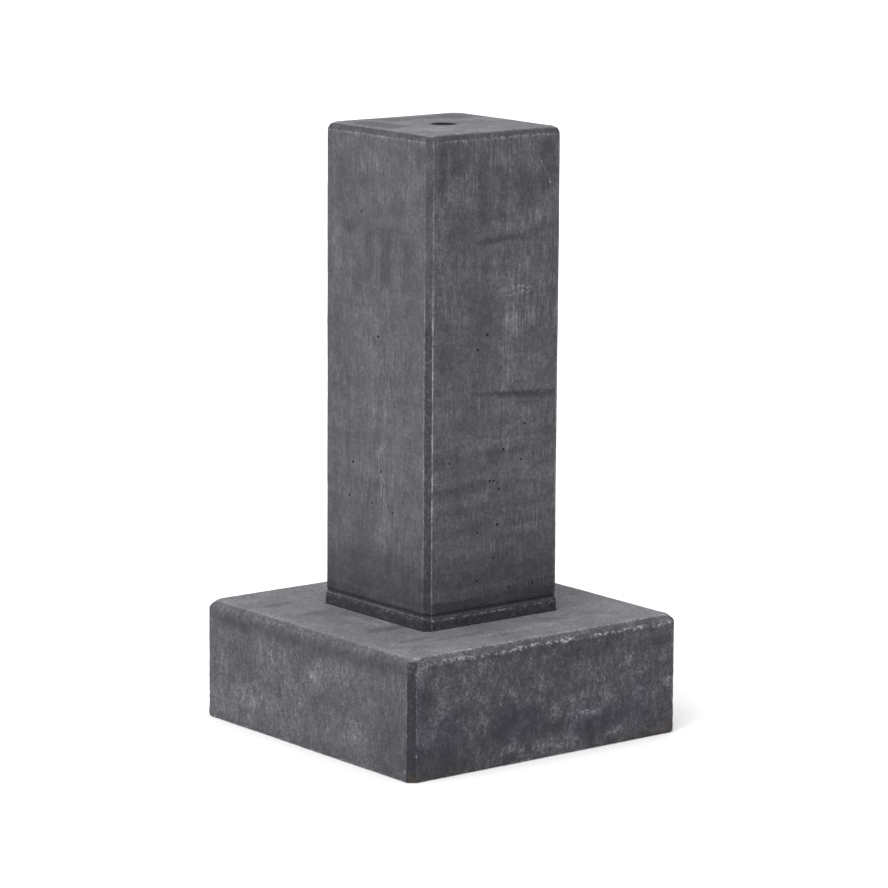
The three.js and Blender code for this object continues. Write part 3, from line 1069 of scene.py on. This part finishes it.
def strayed(tree, vector, scale, amounts, detail=3.0):
    """A place moved about by noise, by up to an amount along each axis."""
    drift = add(tree, "ShaderNodeTexNoise", {"Vector": vector, "Scale": scale, "Detail": detail, "Roughness": 0.7})
    drift = vectors(tree, "SUBTRACT", drift.outputs["Color"], (0.5, 0.5, 0.5))
    return vectors(tree, "MULTIPLY_ADD", drift, amounts, vector)


class Skin(NamedTuple):
    """What the finish is worked out from: where a point is, and which part of the casting it is on."""

    place: bpy.types.NodeSocket
    brushed: bpy.types.NodeSocket
    height: bpy.types.NodeSocket
    from_axis: bpy.types.NodeSocket
    up: bpy.types.NodeSocket
    side: bpy.types.NodeSocket
    left: bpy.types.NodeSocket
    right: bpy.types.NodeSocket
    shaft: bpy.types.NodeSocket
    foot: bpy.types.NodeSocket


def read_skin(tree, s):
    """The skin's places and masks."""
    where = add(tree, "ShaderNodeTexCoord").outputs
    place, normal = where["Object"], where["Normal"]
    height = add(tree, "ShaderNodeSeparateXYZ", {0: place}).outputs[2]
    from_axis = vectors(tree, "LENGTH", vectors(tree, "MULTIPLY", place, (1, 1, 0)))
    up, left, right = (
        between(tree, vectors(tree, "DOT_PRODUCT", normal, way), *slants)
        for way, slants in (((0, 0, 1), FACING_UP), ((-1, 0, 0), FACING_SIDE), ((0, -1, 0), FACING_SIDE))
    )
    side = maths(tree, "SUBTRACT", 1.0, up)
    joint = s.foot_height + s.lip_band + s.lip_bevel
    shaft = product(tree, side, between(tree, height, joint, joint + s.groove_height))
    foot = product(tree, side, between(tree, height, s.foot_height, s.foot_height - 2 * MM))
    brushed = vectors(tree, "MULTIPLY", place, BRUSHED_STRETCH)
    return Skin(place, brushed, height, from_axis, up, side, left, right, shaft, foot)


def texture_tone(tree, skin):
    """Clouds, mottling and grain everywhere, and the mould's fine upright streaks on the column."""
    feathered = strayed(tree, skin.place, 60.0, (16 * MM, 16 * MM, 24 * MM))
    upright = vectors(tree, "MULTIPLY", skin.place, GRAIN_STRETCH)
    fine = maths(tree, "ADD", swing(tree, upright, *UPRIGHT_GRAIN), swing(tree, skin.place, *FINE_GRAIN))
    grainy = total_of(tree, 1.1, product(tree, skin.foot, 0.3), product(tree, skin.foot, skin.right, -0.25))
    even = total_of(
        tree,
        swing(tree, skin.place, *CLOUDS),
        swing(tree, skin.place, *MOTTLING),
        product(tree, fine, grainy),
        swing(tree, feathered, *FEATHERS),
    )
    wiped = vectors(tree, "MULTIPLY", skin.place, WIPED_STRETCH)
    low = between(tree, skin.height, *WIPED_HEIGHTS, 0.4, 1.2)
    patchy = between(tree, noise(tree, skin.place, 20.0, 2.0), 0.38, 0.64, 0.2, 1.7)
    streaks = total_of(
        tree,
        product(tree, swing(tree, skin.brushed, *BRUSH_HAIRS), patchy),
        swing(tree, skin.brushed, *BRUSH_BANDS),
        product(tree, swing(tree, wiped, *WIPES), low),
    )
    contrast = total_of(
        tree, 1.0, product(tree, skin.right, 0.25), product(tree, skin.foot, 0.25),
        product(tree, skin.foot, skin.right, 0.55),
    )
    return product(tree, contrast, maths(tree, "MULTIPLY_ADD", streaks, skin.shaft, even))


def part_tone(tree, skin, s):
    """How dark each part of the casting is, apart from its texture, with paler upward faces, partly dust and
    partly painted light, and painted shade on the faces towards -Y, in the stud hole and in its dish.
    """
    along = add(tree, "ShaderNodeSeparateXYZ", {0: skin.place}).outputs
    low, lower = (
        between(tree, skin.height, *(s.foot_height + above for above in heights))
        for heights in (LOW_ABOVE_FOOT, LOWER_ABOVE_FOOT)
    )
    foot_end = between(tree, along[1], *FOOT_END)
    hole_radius = s.hole_diameter / 2
    high = between(tree, skin.height, s.foot_height, s.total_height - s.hole_depth)
    # Painted shade deep in the stud hole, and painted shadow in the shallow dish round it.
    painted_hole_shade = product(tree, high, between(tree, skin.from_axis, hole_radius + 0.7 * MM, hole_radius))
    painted_dish_shade = product(tree, high, between(tree, skin.from_axis, hole_radius + s.dish_rim + 1 * MM, hole_radius))
    return total_of(
        tree,
        # Upward faces paler: partly dust, partly painted light from above.
        product(tree, skin.up, 0.7),
        # Painted shade in the stud hole and in its dish.
        product(tree, painted_hole_shade, -3.4),
        product(tree, painted_dish_shade, -0.7),
        product(tree, skin.shaft, low, maths(tree, "MULTIPLY_ADD", skin.left, -0.16, -0.34)),
        product(tree, skin.shaft, lower, -0.12),
        # Painted shade: the column's faces towards -Y, turned from the key light, a little darker.
        product(tree, skin.shaft, skin.right, -0.09),
        product(tree, skin.foot, -0.04),
        # Painted shade: the foot's faces towards -Y, turned from the key light, much darker.
        product(tree, skin.foot, skin.right, -0.41),
        product(tree, skin.foot, skin.left, foot_end, -0.18),
    )


def level_band(tree, height, low, high, soft):
    """1 between two heights, with soft ends."""
    return product(tree, between(tree, height, low - soft, low), between(tree, height, high + soft, high))


def joint_tone(tree, skin, s):
    """The lip's dark rough face, partly painted shade, with a painted contact shadow along its foot; the paler
    slope on it, with painted shade on its side towards -Y; and the groove's dark line, painted shade in the
    crease.
    """
    wobble = swing(tree, skin.place, 260.0, 2.6 * MM, 2.0, 0.7)
    height = maths(tree, "ADD", skin.height, wobble)
    lip_top = s.foot_height + s.lip_band
    slope_top = lip_top + s.lip_bevel
    face = level_band(tree, height, s.foot_height - 1.5 * MM, lip_top + 0.7 * MM, 0.7 * MM)
    slope = level_band(tree, height, lip_top + 0.7 * MM, slope_top, 0.7 * MM)
    groove = level_band(tree, height, slope_top, slope_top + s.groove_height, 0.8 * MM)
    painted_contact_shadow = level_band(tree, height, s.foot_height - 1.5 * MM, s.foot_height + 0.5 * MM, 1 * MM)
    pitted = swing(tree, skin.place, *PITS)
    near = between(tree, skin.from_axis, s.column_side * 0.9, s.column_side * 0.8)
    dark = total_of(
        tree,
        # The lip's face: partly its darker rough skin, partly painted shade.
        product(tree, face, maths(tree, "MULTIPLY_ADD", skin.left, -0.4, -1.3)),
        # Painted shade on the lip's slope, on the side towards -Y.
        product(tree, slope, maths(tree, "MULTIPLY_ADD", skin.right, -0.45, 0.0)),
        # Painted shade: a dark line in the groove's crease.
        product(tree, groove, -1.6),
        # Painted contact shadow along the foot of the lip, where it meets the foot.
        product(tree, painted_contact_shadow, -0.6),
        product(tree, face, pitted),
        product(tree, slope, pitted, 0.35),
    )
    return product(tree, skin.side, near, dark)


def arris_tone(tree, skin, s):
    """The dark chamfers, and the pale lines where their arrises are rubbed or crumbled, the rubbed lines partly a
    painted highlight.
    """
    mark = add(tree, "ShaderNodeAttribute", attribute_name="arris").outputs["Fac"]
    chamfer = add(tree, "ShaderNodeAttribute", attribute_name="chamfer").outputs["Fac"]
    low_chamfer = between(tree, skin.height, *DARK_CHAMFER_HEIGHTS)
    chamfer_dark = maths(tree, "MULTIPLY_ADD", low_chamfer, -0.65, -0.4)
    on_foot = between(tree, skin.height, s.foot_height + 1 * MM, s.foot_height - 1 * MM)
    chamfer_dark = maths(tree, "MULTIPLY_ADD", on_foot, -0.95, chamfer_dark)
    mottled = maths(tree, "MULTIPLY_ADD", low_chamfer, 4.5, 1.5)
    specks = product(tree, swing(tree, skin.place, *CHAMFER_SPECKS), mottled)
    chamfer_dark = total_of(tree, chamfer_dark, specks)
    rubbed = between(tree, noise(tree, skin.place, 120.0, 3.0, 0.8), 0.3, 0.55, 0.35, 1.0)
    rubbed = product(tree, rubbed, between(tree, skin.height, *RUBBED_HEIGHTS, 0.35, 1.0))
    ragged = between(tree, noise(tree, skin.place, 300.0, 4.0, 0.9), 0.45, 0.62, -0.2, 1.3)
    wear_and_glint_pattern = add(tree, "ShaderNodeMix", {0: on_foot, 2: rubbed, 3: ragged}, data_type="FLOAT").outputs[0]
    across = add(tree, "ShaderNodeSeparateXYZ", {0: skin.place}).outputs[0]
    soft_side = product(
        tree, between(tree, across, *SOFT_EDGE_ACROSS), between(tree, skin.height, *SOFT_EDGE_HEIGHTS)
    )
    level_side = maths(tree, "SUBTRACT", 1.0, chamfer, clamp=True)
    quiet = maths(tree, "MULTIPLY_ADD", product(tree, soft_side, level_side), -0.9, 1.0)
    # Pale arris lines: partly rubbed wear, partly a painted highlight, stronger towards -Y.
    line = product(tree, mark, wear_and_glint_pattern, quiet, maths(tree, "MULTIPLY_ADD", skin.right, 0.9, 1.15))

    wobble = maths(tree, "ADD", skin.height, swing(tree, skin.place, 130.0, 6 * MM, 4.0, 0.8))
    broken = between(tree, noise(tree, skin.place, 420.0, 3.0, 0.8), 0.36, 0.62)
    stretches = between(tree, noise(tree, skin.place, 26.0, 2.0, 0.6), 0.42, 0.62, 0.1, 1.0)
    crumbs = 0.0
    foot_arris = s.foot_height - s.foot_chamfer
    for level, strength in ((foot_arris, 0.9), (s.total_height - s.column_top_chamfer, 0.9)):
        off = maths(tree, "ABSOLUTE", maths(tree, "SUBTRACT", wobble, level))
        close = between(tree, off, 0.5 * MM, 2.2 * MM, 1.0, 0.0)
        crumbs = maths(tree, "MULTIPLY_ADD", close, strength, crumbs)
    spared = maths(tree, "MULTIPLY_ADD", skin.left, -0.85, 1.0)
    crumbs = product(tree, crumbs, broken, stretches, spared, quiet, skin.side)
    top_chamfer = level_band(tree, skin.height, s.total_height - s.column_top_chamfer, s.total_height, 0.6 * MM)
    top_dark = product(tree, top_chamfer, skin.side, maths(tree, "MULTIPLY_ADD", skin.left, 0.1, -0.4))
    return total_of(tree, product(tree, chamfer, chamfer_dark), line, crumbs, top_dark)


def skin_material(f, s):
    """The cast skin: cloudy and brushed, darker towards the joint, paler where it is rubbed, with painted light on
    upward faces and along the arrises, and painted shade towards -Y, at the joint and in the stud hole.
    """
    material = bpy.data.materials.new("cast_concrete")
    material.use_nodes = True
    tree = material.node_tree
    shader = tree.nodes["Principled BSDF"]
    skin = read_skin(tree, s)
    group = stroke_group("ShaderNodeTree")
    stain, blue, soil = (
        add(tree, "ShaderNodeAttribute", attribute_name=name).outputs["Fac"] for name in ("stain", "blue", "soil")
    )
    combed = strayed(tree, skin.brushed, 500.0, (0, 0, 7 * MM), 1.0)
    combed = vectors(tree, "ADD", skin.place, vectors(tree, "SUBTRACT", combed, skin.brushed))
    combed = strayed(tree, combed, 50.0, (5 * MM, 5 * MM, 1.2 * MM), 3.0)
    feathered = strayed(tree, skin.place, 110.0, (11 * MM,) * 3, 4.0)
    comb_teeth = between(tree, noise(tree, skin.brushed, 520.0, 1.0, 0.7), 0.3, 0.7, 0.4, 1.6)
    feather_teeth = between(tree, noise(tree, skin.place, 220.0, 4.0, 0.85), 0.35, 0.65, 0.2, 1.8)
    soft_teeth = maths(tree, "MULTIPLY_ADD", feather_teeth, 0.5, 0.5)
    teeth = add(tree, "ShaderNodeMix", {0: skin.shaft, 2: soft_teeth, 3: comb_teeth}, data_type="FLOAT")
    tone = total_of(
        tree,
        texture_tone(tree, skin),
        part_tone(tree, skin, s),
        joint_tone(tree, skin, s),
        arris_tone(tree, skin, s),
        product(tree, stain, teeth.outputs[0], 1.7),
        product(tree, strokes_tone(tree, group, combed, fine_strokes(COLUMN_STROKES)), comb_teeth),
        product(tree, strokes_tone(tree, group, feathered, fine_strokes(FOOT_STROKES)), feather_teeth),
    )
    # The tone is a power: each whole step multiplies the skin's share of pale by about 2.7.
    share = maths(tree, "MULTIPLY", maths(tree, "EXPONENT", tone), PALE_SHARE, clamp=True)
    colour = mixed(tree, share, (*f.dark, 1), (*f.pale, 1))
    chamfer = add(tree, "ShaderNodeAttribute", attribute_name="chamfer").outputs["Fac"]
    blue = product(tree, blue, maths(tree, "MULTIPLY_ADD", chamfer, -0.7, 1.0))
    tinted = add(tree, "ShaderNodeMix", data_type="RGBA", blend_type="MULTIPLY")
    for index, value in ((0, blue), (6, colour), (7, (*BLUE_CAST, 1))):
        wire(tree, tinted.inputs[index], value)
    soil = product(tree, soil, between(tree, noise(tree, skin.place, 300.0, 3.0, 0.8), 0.35, 0.6))
    colour = mixed(tree, maths(tree, "MULTIPLY", soil, 0.8, clamp=True), tinted.outputs[2], (*f.soil, 1))
    tree.links.new(colour, shader.inputs["Base Color"])
    shader.inputs["Roughness"].default_value = f.roughness
    shader.inputs["Specular IOR Level"].default_value = 0.25

    relief = maths(tree, "ADD", noise(tree, skin.place, 700.0, 3.0, 0.8), noise(tree, skin.brushed, 500.0, 1.0))
    bump = add(tree, "ShaderNodeBump", {"Strength": 0.4, "Distance": 0.6 * MM, "Height": relief})
    tree.links.new(bump.outputs[0], shader.inputs["Normal"])
    return material


def plain_material(name, colour, darkest, roughness):
    """A grainy finish of one colour, down to a share of it."""
    material = bpy.data.materials.new(name)
    material.use_nodes = True
    tree = material.node_tree
    shader = tree.nodes["Principled BSDF"]
    place = add(tree, "ShaderNodeTexCoord").outputs["Object"]
    grain = between(tree, noise(tree, place, BREAK_GRAIN, 2.0, 0.7), 0.3, 0.7, darkest, 1.0)
    shade = mixed(tree, grain, (0, 0, 0, 1), (*colour, 1))
    tree.links.new(shade, shader.inputs["Base Color"])
    shader.inputs["Roughness"].default_value = roughness
    shader.inputs["Specular IOR Level"].default_value = 0.2
    return material


# The piece and the stage

SHARP_ANGLE = math.radians(40)
CRUMBLE_TURNS = 2  # chips are cut sparsely, in turns, because lumps that overlap a lot don't cut cleanly
FLOOR_HALF = 15.0
LAMP_AWAY = 2.0  # metres from the middle to where a lamp's marker stands
KEY_FROM, KEY_SPREAD = (-0.8, -0.22, 0.6), 50  # the way towards the light, and how wide it is in degrees
TOP_FROM, TOP_SPREAD = (0, 0, 1), 70
SENSOR_WIDTH = 36  # millimetres, as the lens


class COLUMNBASE_OT_casting(bpy.types.Operator):
    """Build the casting: its skin, its unevenness, its air holes and its crumbled arrises."""

    bl_idname = "columnbase.casting"
    bl_label = "Build the casting"

    def execute(self, context):
        s, w, f, _ = settings()
        piece = bpy.data.objects.new(PIECE, skin_mesh(s))
        context.scene.collection.objects.link(piece)
        skin = skin_material(f, s)
        run_tree(piece, uneven_tree(), {
            "Wave depth": w.wave_depth, "Wave length": w.wave_length,
            "Ripple depth": w.ripple_depth, "Ripple length": w.ripple_length,
            "Arris depth": w.arris_depth, "Arris length": w.arris_length,
            "Rough depth": w.rough_depth, "Rough length": w.rough_length,
            "Skin": skin,
        })
        marks = hole_marks(s)
        # The air holes' cut faces get a near-black finish: painted shade.
        run_tree(piece, air_hole_tree(), {
            "Marks": marks, "Density": w.holes_per_area, "Smallest": w.hole_smallest, "Largest": w.hole_largest,
            "Seed": w.seed, "Mark": "air_hole_painted_shade",
            "Cut": plain_material("air_hole_painted_shade", f.air_hole_painted_shade, 0.5, 0.9),
        })
        discard(marks)
        marks = arris_marks(s)
        crumble = crumble_tree()
        broken = plain_material("broken_concrete", f.broken, 0.35, 0.95)
        for turn in range(CRUMBLE_TURNS):
            run_tree(piece, crumble, {
                "Marks": marks, "Spacing": w.chip_spacing, "Smallest": w.chip_smallest, "Largest": w.chip_largest,
                "Seed": w.seed + turn, "Mark": "broken", "Cut": broken,
            })
        discard(marks)
        mesh = piece.data
        if len(mesh.polygons) < SIDE_STEPS ** 2:
            raise RuntimeError("the casting's skin was lost in cutting")
        mesh.polygons.foreach_set("use_smooth", [True] * len(mesh.polygons))
        mesh.set_sharp_from_angle(angle=SHARP_ANGLE)
        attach(piece, "root")
        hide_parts(CAD_NODE)
        return {"FINISHED"}


def soft_light(name, towards_light, angle, strength):
    """A wide soft light, the same all over the floor."""
    data = bpy.data.lights.new(name, "SUN")
    data.angle = math.radians(angle)
    data.energy = strength
    lamp = bpy.data.objects.new(name, data)
    lamp.rotation_euler = Vector(towards_light).to_track_quat("Z", "Y").to_euler()
    lamp.location = Vector(towards_light).normalized() * LAMP_AWAY
    bpy.context.scene.collection.objects.link(lamp)


def place_camera(t):
    """The camera at the photograph's angle."""
    data = bpy.data.cameras.new("camera")
    data.sensor_width = SENSOR_WIDTH
    data.lens = t.lens
    camera = bpy.data.objects.new("camera", data)
    ahead = Vector((
        -math.sin(t.azimuth) * math.cos(t.pitch), math.cos(t.azimuth) * math.cos(t.pitch), -math.sin(t.pitch),
    ))
    beside = Vector((math.cos(t.azimuth), math.sin(t.azimuth), 0))
    aim = beside * t.aim_across + Vector((0, 0, t.aim_height))
    camera.location = aim - ahead * t.distance
    level = ahead.to_track_quat("-Z", "Y")
    camera.rotation_mode = "QUATERNION"
    camera.rotation_quaternion = Quaternion(ahead, -t.roll) @ level
    bpy.context.scene.collection.objects.link(camera)
    bpy.context.scene.camera = camera


class COLUMNBASE_OT_stage(bpy.types.Operator):
    """Build the pale floor, the soft lights and the camera."""

    bl_idname = "columnbase.stage"
    bl_label = "Build the stage"

    def execute(self, context):
        t = settings()[3]
        half = FLOOR_HALF
        corners = [(-half, -half, 0), (half, -half, 0), (half, half, 0), (-half, half, 0)]
        mesh = bpy.data.meshes.new("floor")
        mesh.from_pydata(corners, [], [(0, 1, 2, 3)])
        floor = bpy.data.objects.new("floor", mesh)
        context.scene.collection.objects.link(floor)
        paint = bpy.data.materials.new("pale_floor")
        paint.use_nodes = True
        shader = paint.node_tree.nodes["Principled BSDF"].inputs
        shader["Base Color"].default_value = (*t.floor, 1)
        shader["Roughness"].default_value = 0.9
        shader["Specular IOR Level"].default_value = 0.0
        mesh.materials.append(paint)

        world = bpy.data.worlds.new("sky")
        world.use_nodes = True
        background = world.node_tree.nodes["Background"].inputs
        background["Color"].default_value = (1, 1, 1, 1)
        background["Strength"].default_value = t.sky
        context.scene.world = world
        soft_light("key_light", KEY_FROM, KEY_SPREAD, t.key)
        soft_light("top_light", TOP_FROM, TOP_SPREAD, t.top)
        place_camera(t)
        context.scene.view_settings.view_transform = "Standard"
        return {"FINISHED"}


class COLUMNBASE_PT_panel(bpy.types.Panel):
    """The block's settings and its two makers."""

    bl_idname = "COLUMNBASE_PT_panel"
    bl_label = "Column base block"
    bl_space_type = "VIEW_3D"
    bl_region_type = "UI"
    bl_category = "Column base"

    def draw(self, context):
        for group in settings():
            box = self.layout.box()
            for name in group.bl_rna.properties.keys():
                if name not in {"rna_type", "name"}:
                    box.prop(group, name)
        self.layout.operator("columnbase.casting")
        self.layout.operator("columnbase.stage")


GROUPS = {
    "column_base_sizes": CastingSizes,
    "column_base_wear": CastingWear,
    "column_base_finish": ConcreteFinish,
    "column_base_studio": StudioSettings,
}
OTHERS = (COLUMNBASE_OT_casting, COLUMNBASE_OT_stage, COLUMNBASE_PT_panel)


def register():
    """Adds the settings, the makers and the panel."""
    for name, group in GROUPS.items():
        bpy.utils.register_class(group)
        setattr(bpy.types.Scene, name, PointerProperty(type=group))
    for cls in OTHERS:
        bpy.utils.register_class(cls)


def unregister():
    """Takes them away again."""
    for cls in reversed(OTHERS):
        bpy.utils.unregister_class(cls)
    for name, group in GROUPS.items():
        delattr(bpy.types.Scene, name)
        bpy.utils.unregister_class(group)


def main():
    """Builds the block and its stage."""
    register()
    bpy.ops.columnbase.casting()
    bpy.ops.columnbase.stage()
    bpy.context.view_layer.update()


if __name__ == "__main__":
    main()
